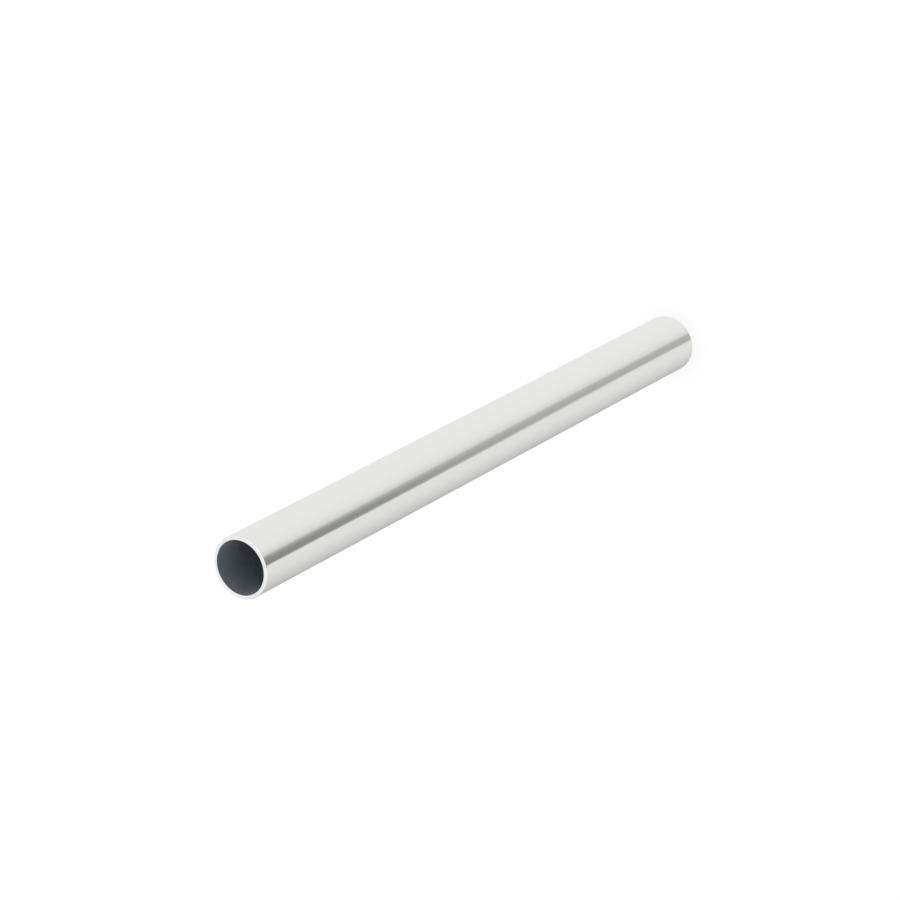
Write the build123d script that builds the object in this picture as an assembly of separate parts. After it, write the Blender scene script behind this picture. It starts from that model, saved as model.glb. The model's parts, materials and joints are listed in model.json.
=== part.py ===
from build123d import *
import os

# A spacer sleeve: one length of thin-walled round tube, cut square at both ends. The outer edge
# of each end is rounded over, and each mouth of the bore has its burr just taken off.
# It goes over a rod or a bolt and holds two things apart, so its two end faces carry the load.
# Millimetres. The sleeve's axis is +Z, and it stands on the XY plane with the origin at the
# centre of its lower end.

# Driving dimensions
length = 200.0  # from end face to end face
outside_diameter = 16.0
wall = 1.0
outer_edge_radius = 0.4  # round-over on the outside of each end
bore_edge_radius = 0.12  # round-over at each mouth of the bore

# What follows from them
outer_radius = outside_diameter / 2
bore_radius = outer_radius - wall
node_name = "spacer_sleeve"


def wall_section():
    """The wall cut through the axis on one side: radius along X, height along Z."""
    middle = ((bore_radius + outer_radius) / 2, length / 2)
    with BuildSketch(Plane.XZ) as section:
        with Locations(middle):
            Rectangle(wall, length)
        fillet(section.vertices().group_by(Axis.X)[0], bore_edge_radius)
        fillet(section.vertices().group_by(Axis.X)[-1], outer_edge_radius)
    return section.sketch


def sleeve():
    """The section turned once round the axis, as one solid."""
    return revolve(wall_section(), axis=Axis.Z, revolution_arc=360)


os.makedirs("parts", exist_ok=True)
export_step(sleeve(), os.path.join("parts", node_name + ".step"))
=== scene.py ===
import json
import math

import bpy
from mathutils import Matrix, Vector


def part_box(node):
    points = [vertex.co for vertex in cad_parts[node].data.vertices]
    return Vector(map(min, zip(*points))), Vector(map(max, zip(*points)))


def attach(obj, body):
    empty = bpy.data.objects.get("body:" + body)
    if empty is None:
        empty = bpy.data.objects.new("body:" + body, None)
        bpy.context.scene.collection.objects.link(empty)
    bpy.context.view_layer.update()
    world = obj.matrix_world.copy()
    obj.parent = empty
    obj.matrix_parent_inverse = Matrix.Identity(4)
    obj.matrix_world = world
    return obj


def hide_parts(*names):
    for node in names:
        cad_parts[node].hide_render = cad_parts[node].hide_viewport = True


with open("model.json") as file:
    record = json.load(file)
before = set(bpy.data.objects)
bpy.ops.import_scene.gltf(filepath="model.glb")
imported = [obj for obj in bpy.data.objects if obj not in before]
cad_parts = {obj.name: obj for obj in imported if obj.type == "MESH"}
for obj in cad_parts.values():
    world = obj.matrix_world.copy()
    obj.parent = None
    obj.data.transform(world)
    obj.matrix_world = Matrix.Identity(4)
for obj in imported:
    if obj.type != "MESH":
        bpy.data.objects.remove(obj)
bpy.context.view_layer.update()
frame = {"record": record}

# The sleeve's sizes as the frame gives them, in metres. Each wall stops where its edges start
# to round over, so what a wall's length lacks at each end is the radius of that edge.
mountDims = {mount["name"]: mount["dims"] for mount in frame["record"]["mounts"]}
sleeveLow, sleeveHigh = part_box("spacer_sleeve")
sleeveLength = sleeveHigh.z - sleeveLow.z
sleeveMiddle = Vector((0, 0, (sleeveLow.z + sleeveHigh.z) / 2))
outerRadius = mountDims["outside"]["r_mm"] / 1000
boreRadius = mountDims["bore"]["r_mm"] / 1000
outerEdgeRadius = (sleeveLength - mountDims["outside"]["length_mm"] / 1000) / 2
boreEdgeRadius = (sleeveLength - mountDims["bore"]["length_mm"] / 1000) / 2
print("frame: sleeve", round(sleeveLength, 4), "long,", round(2 * outerRadius, 4), "across")


def addNode(tree, kind, x, y, **settings):
    node = tree.nodes.new(kind)
    node.location = (x, y)
    for name, value in settings.items():
        setattr(node, name, value)
    return node


def calc(tree, operation, values, x, y):
    # a sum of plain numbers and other nodes' outputs
    node = addNode(tree, "ShaderNodeMath", x, y, operation=operation)
    for socket, value in zip(node.inputs, values):
        if isinstance(value, (int, float)):
            socket.default_value = value
        else:
            tree.links.new(value, socket)
    return node.outputs[0]


def setRamp(node, stops):
    # stops run from 0 to 1, each with its colour
    elements = node.color_ramp.elements
    while len(elements) > 1:
        elements.remove(elements[-1])
    for number, (position, colour) in enumerate(stops):
        element = elements[0] if number == 0 else elements.new(position)
        element.position = position
        element.color = (*colour, 1)


def newMaterial(name):
    material = bpy.data.materials.new(name)
    material.use_nodes = True
    tree = material.node_tree
    tree.nodes.clear()
    output = addNode(tree, "ShaderNodeOutputMaterial", 900, 0)
    return material, tree, output


# Finishes. A line's three numbers are the width, depth and height of one streak, in metres.
# Where two roughnesses stand, the first is where the metal is bright and the second where it is dull.
toneRange = (0.3, 0.7)  # a pattern runs from 0 to 1, and from dull to bright between these two

polishedWall = {
    "colour": (0.838, 0.842, 0.80),
    "dullColour": (0.822, 0.827, 0.786),
    "roughness": (0.115, 0.135),
    "drawLine": (0.0004, 0.0004, 0.12),
    "fineLine": (0.00012, 0.00012, 0.03),
    "lineDepth": 0.0000004,
}
turnedEnd = {
    "colour": (0.895, 0.897, 0.89),
    "dullColour": (0.865, 0.867, 0.861),
    "roughness": (0.2, 0.28),
    "toolMark": 0.00005,  # from one turning mark to the next
    "markDepth": 0.0000006,
}
drawnBore = {
    "colour": (0.614, 0.668, 0.722),
    "dullColour": (0.51, 0.562, 0.608),
    "roughness": (0.5, 0.6),
    "drawLine": (0.0005, 0.0005, 0.05),
    "lineDepth": 0.000002,
}


def streaks(tree, x, y, cell, detail):
    # noise drawn out to cells of this size, read in the piece's own coordinates
    place = addNode(tree, "ShaderNodeTexCoord", x, y)
    mapping = addNode(tree, "ShaderNodeMapping", x + 180, y)
    mapping.inputs["Scale"].default_value = tuple(1 / side for side in cell)
    noise = addNode(tree, "ShaderNodeTexNoise", x + 360, y)
    noise.inputs["Scale"].default_value = 1
    noise.inputs["Detail"].default_value = detail
    noise.inputs["Roughness"].default_value = 0.6
    tree.links.new(place.outputs["Object"], mapping.inputs["Vector"])
    tree.links.new(mapping.outputs["Vector"], noise.inputs["Vector"])
    return noise.outputs["Fac"]


def bareMetal(tree, finish, tone):
    # polished metal whose colour and roughness both follow one grey pattern
    shader = addNode(tree, "ShaderNodeBsdfPrincipled", 600, 0)
    shader.inputs["Metallic"].default_value = 1
    colour = addNode(tree, "ShaderNodeValToRGB", 200, 160)
    setRamp(colour, list(zip(toneRange, (finish["dullColour"], finish["colour"]))))
    rough = addNode(tree, "ShaderNodeMapRange", 200, -80)
    rough.inputs["From Min"].default_value = toneRange[0]
    rough.inputs["From Max"].default_value = toneRange[1]
    rough.inputs["To Min"].default_value = finish["roughness"][1]
    rough.inputs["To Max"].default_value = finish["roughness"][0]
    tree.links.new(tone, colour.inputs["Fac"])
    tree.links.new(tone, rough.inputs["Value"])
    tree.links.new(colour.outputs["Color"], shader.inputs["Base Color"])
    tree.links.new(rough.outputs["Result"], shader.inputs["Roughness"])
    return shader


def addBump(tree, shader, height, depth):
    bump = addNode(tree, "ShaderNodeBump", 400, -320)
    bump.inputs["Strength"].default_value = 1
    bump.inputs["Distance"].default_value = depth
    tree.links.new(height, bump.inputs["Height"])
    tree.links.new(bump.outputs["Normal"], shader.inputs["Normal"])


def makePolishedWall(finish):
    material, tree, output = newMaterial("polishedWall")
    tone = streaks(tree, -600, 160, finish["drawLine"], 3)
    shader = bareMetal(tree, finish, tone)
    addBump(tree, shader, streaks(tree, -600, -320, finish["fineLine"], 2), finish["lineDepth"])
    tree.links.new(shader.outputs["BSDF"], output.inputs["Surface"])
    return material


def makeTurnedEnd(finish):
    material, tree, output = newMaterial("turnedEnd")
    place = addNode(tree, "ShaderNodeTexCoord", -600, 0)
    marks = addNode(
        tree, "ShaderNodeTexWave", -300, 0, wave_type="RINGS", rings_direction="Z"
    )
    # the wave turns once in 2 pi / (20 * scale)
    marks.inputs["Scale"].default_value = math.pi / (10 * finish["toolMark"])
    marks.inputs["Distortion"].default_value = 1.5
    marks.inputs["Detail"].default_value = 2
    tree.links.new(place.outputs["Object"], marks.inputs["Vector"])
    shader = bareMetal(tree, finish, marks.outputs["Fac"])
    addBump(tree, shader, marks.outputs["Fac"], finish["markDepth"])
    tree.links.new(shader.outputs["BSDF"], output.inputs["Surface"])
    return material


def makeDrawnBore(finish):
    material, tree, output = newMaterial("drawnBore")
    tone = streaks(tree, -600, 160, finish["drawLine"], 4)
    shader = bareMetal(tree, finish, tone)
    addBump(tree, shader, tone, finish["lineDepth"])
    tree.links.new(shader.outputs["BSDF"], output.inputs["Surface"])
    return material


wallMetal = makePolishedWall(polishedWall)
endMetal = makeTurnedEnd(turnedEnd)
boreMetal = makeDrawnBore(drawnBore)
print("finishes: wall, ends and bore")


# The sleeve: the wall's section, with its corners rounded, carried once round the axis.
sleeveSweep = {
    "Length": sleeveLength,
    "Outer Radius": outerRadius,
    "Bore Radius": boreRadius,
    "Outer Edge Radius": outerEdgeRadius,
    "Bore Edge Radius": boreEdgeRadius,
    "Edge Steps": 8,
    "Facets": 320,
    "Lower End": sleeveLow.z,
    "End Lean": 0.3,  # a face that leans further along the axis than this is part of an end
    "Wall Metal": wallMetal,
    "End Metal": endMetal,
    "Bore Metal": boreMetal,
}


def sleeveTree():
    tree = bpy.data.node_groups.new("sleeveSweep", "GeometryNodeTree")
    tree.interface.new_socket("Geometry", in_out="INPUT", socket_type="NodeSocketGeometry")
    tree.interface.new_socket("Geometry", in_out="OUTPUT", socket_type="NodeSocketGeometry")
    for name, value in sleeveSweep.items():
        kind = {float: "NodeSocketFloat", int: "NodeSocketInt"}.get(type(value), "NodeSocketMaterial")
        tree.interface.new_socket(name, in_out="INPUT", socket_type=kind)
    link = tree.links.new
    size = addNode(tree, "NodeGroupInput", -1400, 0).outputs

    # the section: a tall thin rectangle whose outer corners lie at +X
    wall = calc(tree, "SUBTRACT", (size["Outer Radius"], size["Bore Radius"]), -1200, 300)
    bothRadii = calc(tree, "ADD", (size["Outer Radius"], size["Bore Radius"]), -1200, 120)
    middleRadius = calc(tree, "MULTIPLY", (bothRadii, 0.5), -1000, 120)
    section = addNode(tree, "GeometryNodeCurvePrimitiveQuadrilateral", -1000, 400)
    link(wall, section.inputs["Width"])
    link(size["Length"], section.inputs["Height"])
    corner = addNode(tree, "ShaderNodeSeparateXYZ", -1000, -60)
    link(addNode(tree, "GeometryNodeInputPosition", -1200, -60).outputs[0], corner.inputs[0])
    isOuter = calc(tree, "GREATER_THAN", (corner.outputs["X"], 0), -800, -60)
    edgeRadius = addNode(tree, "ShaderNodeMix", -600, 0, data_type="FLOAT")
    link(isOuter, edgeRadius.inputs["Factor"])
    link(size["Bore Edge Radius"], edgeRadius.inputs["A"])
    link(size["Outer Edge Radius"], edgeRadius.inputs["B"])
    rounded = addNode(tree, "GeometryNodeFilletCurve", -400, 400, mode="POLY")
    link(size["Edge Steps"], rounded.inputs["Count"])
    link(section.outputs["Curve"], rounded.inputs["Curve"])
    link(edgeRadius.outputs["Result"], rounded.inputs["Radius"])

    # once round the axis
    ring = addNode(tree, "GeometryNodeCurvePrimitiveCircle", -400, 160, mode="RADIUS")
    link(size["Facets"], ring.inputs["Resolution"])
    link(middleRadius, ring.inputs["Radius"])
    swept = addNode(tree, "GeometryNodeCurveToMesh", -200, 300)
    link(ring.outputs["Curve"], swept.inputs["Curve"])
    link(rounded.outputs["Curve"], swept.inputs["Profile Curve"])
    halfLength = calc(tree, "MULTIPLY", (size["Length"], 0.5), -400, -60)
    rise = calc(tree, "ADD", (halfLength, size["Lower End"]), -200, -60)
    place = addNode(tree, "ShaderNodeCombineXYZ", 0, -60)
    link(rise, place.inputs["Z"])
    standing = addNode(tree, "GeometryNodeTransform", 0, 300)
    link(swept.outputs["Mesh"], standing.inputs["Geometry"])
    link(place.outputs[0], standing.inputs["Translation"])
    smooth = addNode(tree, "GeometryNodeSetShadeSmooth", 200, 300)
    link(standing.outputs["Geometry"], smooth.inputs["Geometry"])

    # what slopes or faces along the axis is end, and what is left inside is bore
    facing = addNode(tree, "ShaderNodeSeparateXYZ", 200, -260)
    link(addNode(tree, "GeometryNodeInputNormal", 0, -260).outputs[0], facing.inputs[0])
    lean = calc(tree, "ABSOLUTE", (facing.outputs["Z"], 0), 400, -260)
    isEnd = calc(tree, "GREATER_THAN", (lean, size["End Lean"]), 600, -260)
    across = addNode(tree, "ShaderNodeVectorMath", 200, -460, operation="MULTIPLY")
    across.inputs[1].default_value = (1, 1, 0)
    link(addNode(tree, "GeometryNodeInputPosition", 0, -460).outputs[0], across.inputs[0])
    reach = addNode(tree, "ShaderNodeVectorMath", 400, -460, operation="LENGTH")
    link(across.outputs[0], reach.inputs[0])
    inside = calc(tree, "LESS_THAN", (reach.outputs["Value"], middleRadius), 600, -460)
    isBore = calc(tree, "SUBTRACT", (inside, isEnd), 800, -360)

    real = addNode(tree, "GeometryNodeRealizeInstances", 400, 300)
    link(smooth.outputs["Geometry"], real.inputs["Geometry"])
    last = real.outputs["Geometry"]
    for number, (metal, where) in enumerate(
        (("Wall Metal", None), ("End Metal", isEnd), ("Bore Metal", isBore))
    ):
        paint = addNode(tree, "GeometryNodeSetMaterial", 1000 + 200 * number, 300)
        link(last, paint.inputs["Geometry"])
        link(size[metal], paint.inputs["Material"])
        if where is not None:
            link(where, paint.inputs["Selection"])
        last = paint.outputs["Geometry"]
    link(last, addNode(tree, "NodeGroupOutput", 1700, 300).inputs["Geometry"])
    return tree


def makeSleeve():
    draft = bpy.data.objects.new("sleeveDraft", bpy.data.meshes.new("sleeveDraft"))
    bpy.context.collection.objects.link(draft)
    nodes = draft.modifiers.new("sleeveSweep", "NODES")
    nodes.node_group = sleeveTree()
    for socket in nodes.node_group.interface.items_tree:
        if socket.in_out == "INPUT" and socket.name in sleeveSweep:
            nodes[socket.identifier] = sleeveSweep[socket.name]
    evaluated = draft.evaluated_get(bpy.context.evaluated_depsgraph_get())
    mesh = bpy.data.meshes.new_from_object(evaluated)
    bpy.data.objects.remove(draft)

    sleeve = bpy.data.objects.new("sleeveTube", mesh)
    bpy.context.collection.objects.link(sleeve)
    # the flats and the long walls keep their own shading right up to the rounded edges
    shading = sleeve.modifiers.new("flatShading", "WEIGHTED_NORMAL")
    shading.weight = 100
    shading.keep_sharp = False
    return sleeve


sleeveTube = makeSleeve()
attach(sleeveTube, "root")
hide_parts("spacer_sleeve")
print("sleeve:", len(sleeveTube.data.polygons), "faces,", len(sleeveTube.data.materials), "finishes")


# The studio: a pale floor, and a white room that shows one dark gap in polished metal.
# Angles are in degrees round the sleeve from the camera's side, positive towards +X. Heights are
# the upward part of a direction, so -1 is straight down, and reaches are its part towards the back.
studio = {
    "floorSize": 6.0,
    "floorColour": 0.45,
    "floorLift": 0.58,  # added to what the camera sees of the floor
    "screens": [
        (-180, 0.58),
        (-160, 0.515),
        (-140, 0.578),
        (-120, 0.68),
        (-100, 0.76),
        (-72, 0.87),
        (-50, 0.90),
        (-36, 0.90),
        (-4, 0.87),
        (20, 0.93),
        (50, 0.96),
        (100, 0.965),
        (165, 0.885),
        (180, 0.58),
    ],
    "gap": [
        (-37.8, 0),
        (-35.6, 1),
        (-24, 1),
        (-12, 0.92),
        (-5.7, 0.82),
        (-3.3, 0.34),
        (8, 0.12),
        (22, 0),
    ],
    "gapDepth": 0.43,
    "gapTaper": (1.165, 1.0),  # how much narrower it is low down than high up
    "taperHeights": (-0.815, -0.775),
    "taperCentre": 8.5,
    # a second shade in the gap, only high up, which starts at these angles at two heights
    "shadeDepth": 0.25,
    "shadeTint": (0.945, 1.0, 0.975),  # its red, green and blue
    "shadeHeights": (-0.797, -0.75),
    "shadeStart": ((-0.73, 4), (-0.762, -5)),
    "shadeWidth": 18,
    "ceiling": (1.12, 0.94),  # at the front and at the back
    "ceilingReach": (-0.6, 0.6),
    "ceilingHeights": (0.1, 0.5),
    "panel": 1.15,  # a lit panel low down at the back
    "panelReach": (0.84, 0.94),
    "panelHeights": (-0.3, 0.0),
    "evenLight": 1.0,
}


def makeFloor():
    half = studio["floorSize"] / 2
    corners = [(-half, -half), (half, -half), (half, half), (-half, half)]
    mesh = bpy.data.meshes.new("studioFloor")
    mesh.from_pydata([(x, y, sleeveLow.z) for x, y in corners], [], [(0, 1, 2, 3)])
    floor = bpy.data.objects.new("studioFloor", mesh)
    bpy.context.collection.objects.link(floor)
    floor.visible_glossy = False  # polished metal shows the room's screens and gap right down

    material, tree, output = newMaterial("paleFloor")
    paint = addNode(tree, "ShaderNodeBsdfDiffuse", 200, 100)
    paint.inputs["Color"].default_value = (*(studio["floorColour"],) * 3, 1)
    seen = addNode(tree, "ShaderNodeLightPath", -200, -200)
    lift = addNode(tree, "ShaderNodeEmission", 200, -100)
    tree.links.new(
        calc(tree, "MULTIPLY", (seen.outputs["Is Camera Ray"], studio["floorLift"]), 0, -200),
        lift.inputs["Strength"],
    )
    total = addNode(tree, "ShaderNodeAddShader", 500, 0)
    tree.links.new(paint.outputs[0], total.inputs[0])
    tree.links.new(lift.outputs[0], total.inputs[1])
    tree.links.new(total.outputs[0], output.inputs["Surface"])
    mesh.materials.append(material)


def makeWorld():
    world = bpy.data.worlds.new("studioRoom")
    bpy.context.scene.world = world
    world.use_nodes = True
    tree = world.node_tree
    tree.nodes.clear()
    link = tree.links.new

    def ramp(kind, factor, x, y):
        node = addNode(tree, "ShaderNodeValToRGB", x, y)
        setRamp(node, [(0.5 + angle / 360, (level,) * 3) for angle, level in studio[kind]])
        link(factor, node.inputs["Fac"])
        return node.outputs["Color"]

    def blend(value, span, ends, x, y):
        node = addNode(tree, "ShaderNodeMapRange", x, y, interpolation_type="SMOOTHSTEP")
        for name, number in zip(("From Min", "From Max", "To Min", "To Max"), (*span, *ends)):
            node.inputs[name].default_value = number
        link(value, node.inputs["Value"])
        return node.outputs["Result"]

    def mix(factor, first, second, x, y):
        node = addNode(tree, "ShaderNodeMix", x, y, data_type="FLOAT")
        for name, value in (("Factor", factor), ("A", first), ("B", second)):
            if isinstance(value, float):
                node.inputs[name].default_value = value
            else:
                link(value, node.inputs[name])
        return node.outputs["Result"]

    # the angle round the sleeve, from 0 to 1 with the camera's side at 0.5, and the height
    direction = addNode(tree, "ShaderNodeTexCoord", -1400, 0).outputs["Generated"]
    turned = addNode(tree, "ShaderNodeMapping", -1200, 0)
    turned.inputs["Rotation"].default_value[2] = math.radians(90)
    link(direction, turned.inputs["Vector"])
    gradient = addNode(tree, "ShaderNodeTexGradient", -1000, 0, gradient_type="RADIAL")
    link(turned.outputs["Vector"], gradient.inputs["Vector"])
    angle = gradient.outputs["Fac"]
    parts = addNode(tree, "ShaderNodeSeparateXYZ", -1200, -300)
    link(direction, parts.inputs[0])
    reach = parts.outputs["Y"]
    height = parts.outputs["Z"]

    # bright screens all round, less the gap, which is narrower and paler low down
    centre = 0.5 + studio["taperCentre"] / 360
    taper = blend(height, studio["taperHeights"], studio["gapTaper"], -1000, -240)
    offCentre = calc(tree, "SUBTRACT", (angle, centre), -800, -60)
    gapAngle = calc(tree, "MULTIPLY_ADD", (offCentre, taper, centre), -600, -60)
    (highest, startHigh), (lowest, startLow) = studio["shadeStart"]
    slope = (startHigh - startLow) / (highest - lowest) / 360
    start = 0.5 + startHigh / 360 - highest * slope
    past = calc(tree, "MULTIPLY_ADD", (height, -slope, angle), -800, -300)
    inShade = blend(past, (start - studio["shadeWidth"] / 360, start), (1, 0), -600, -300)
    highUp = blend(height, studio["shadeHeights"], (0, 1), -600, -560)
    deep = calc(tree, "MULTIPLY", (inShade, highUp), -400, -460)
    shade = calc(tree, "MULTIPLY_ADD", (deep, studio["shadeDepth"], studio["gapDepth"]), -400, -300)
    inGap = ramp("gap", gapAngle, -400, -60)
    dark = calc(tree, "MULTIPLY", (inGap, shade), -100, -100)
    kept = calc(tree, "SUBTRACT", (1, dark), 60, -100)
    screens = calc(tree, "MULTIPLY", (ramp("screens", angle, -400, 240), kept), 220, 60)

    # the ceiling, and the lit panel
    ceiling = blend(reach, studio["ceilingReach"], studio["ceiling"], -100, -340)
    above = blend(height, studio["ceilingHeights"], (0, 1), -100, -560)
    room = mix(above, screens, ceiling, 400, 0)
    beyond = blend(reach, studio["panelReach"], (0, 1), 200, -340)
    raised = blend(height, studio["panelHeights"], (0, 1), 200, -560)
    lit = calc(tree, "MULTIPLY", (beyond, raised), 400, -340)
    room = mix(lit, room, studio["panel"], 560, 0)

    # only polished metal sees the screens: the camera sees white, and rough surfaces an even light
    isGlossy = addNode(tree, "ShaderNodeLightPath", 560, 300).outputs["Is Glossy Ray"]
    light = addNode(tree, "ShaderNodeBackground", 900, 0)
    link(mix(isGlossy, studio["evenLight"], room, 740, 100), light.inputs["Strength"])

    # the second shade is also a little coloured
    deepInGap = calc(tree, "MULTIPLY", (deep, inGap), 200, 460)
    tinted = calc(tree, "MULTIPLY", (deepInGap, isGlossy), 400, 460)
    colour = addNode(tree, "ShaderNodeCombineColor", 800, 460)
    for number, part in enumerate(studio["shadeTint"]):
        shaded = calc(tree, "MULTIPLY_ADD", (tinted, part - 1, 1), 600, 460 - 160 * number)
        link(shaded, colour.inputs[number])
    link(colour.outputs[0], light.inputs["Color"])
    output = addNode(tree, "ShaderNodeOutputWorld", 1000, 0)
    link(light.outputs[0], output.inputs["Surface"])


makeFloor()
makeWorld()
print("studio: floor and room")


# The camera looks down on the sleeve with its upper end nearest, and is rolled so that the
# sleeve lies across the frame. Distances are in metres.
cameraSetup = {
    "elevation": 50.92,
    "roll": -117.56,  # anticlockwise from behind the camera
    "distance": 0.8925,
    "lens": 137.0,  # millimetres, as the sensor's width is
    "sensor": 36.0,
    "aimRight": -0.00592,
    "aimUp": -0.00111,
}


def makeCamera():
    data = bpy.data.cameras.new("studioCamera")
    data.lens = cameraSetup["lens"]
    data.sensor_width = cameraSetup["sensor"]
    camera = bpy.data.objects.new("studioCamera", data)
    bpy.context.collection.objects.link(camera)
    elevation = math.radians(cameraSetup["elevation"])
    back = Vector((0, -math.cos(elevation), math.sin(elevation)))
    turn = Matrix.Rotation(math.radians(cameraSetup["roll"]), 4, "Z")
    facing = (-back).to_track_quat("-Z", "Y").to_matrix().to_4x4() @ turn
    right, up = facing.col[0].to_3d(), facing.col[1].to_3d()
    aim = sleeveMiddle + cameraSetup["aimRight"] * right + cameraSetup["aimUp"] * up
    camera.matrix_world = Matrix.Translation(aim + cameraSetup["distance"] * back) @ facing
    bpy.context.scene.camera = camera


makeCamera()
bpy.context.scene.view_settings.view_transform = "Standard"
print("camera set")
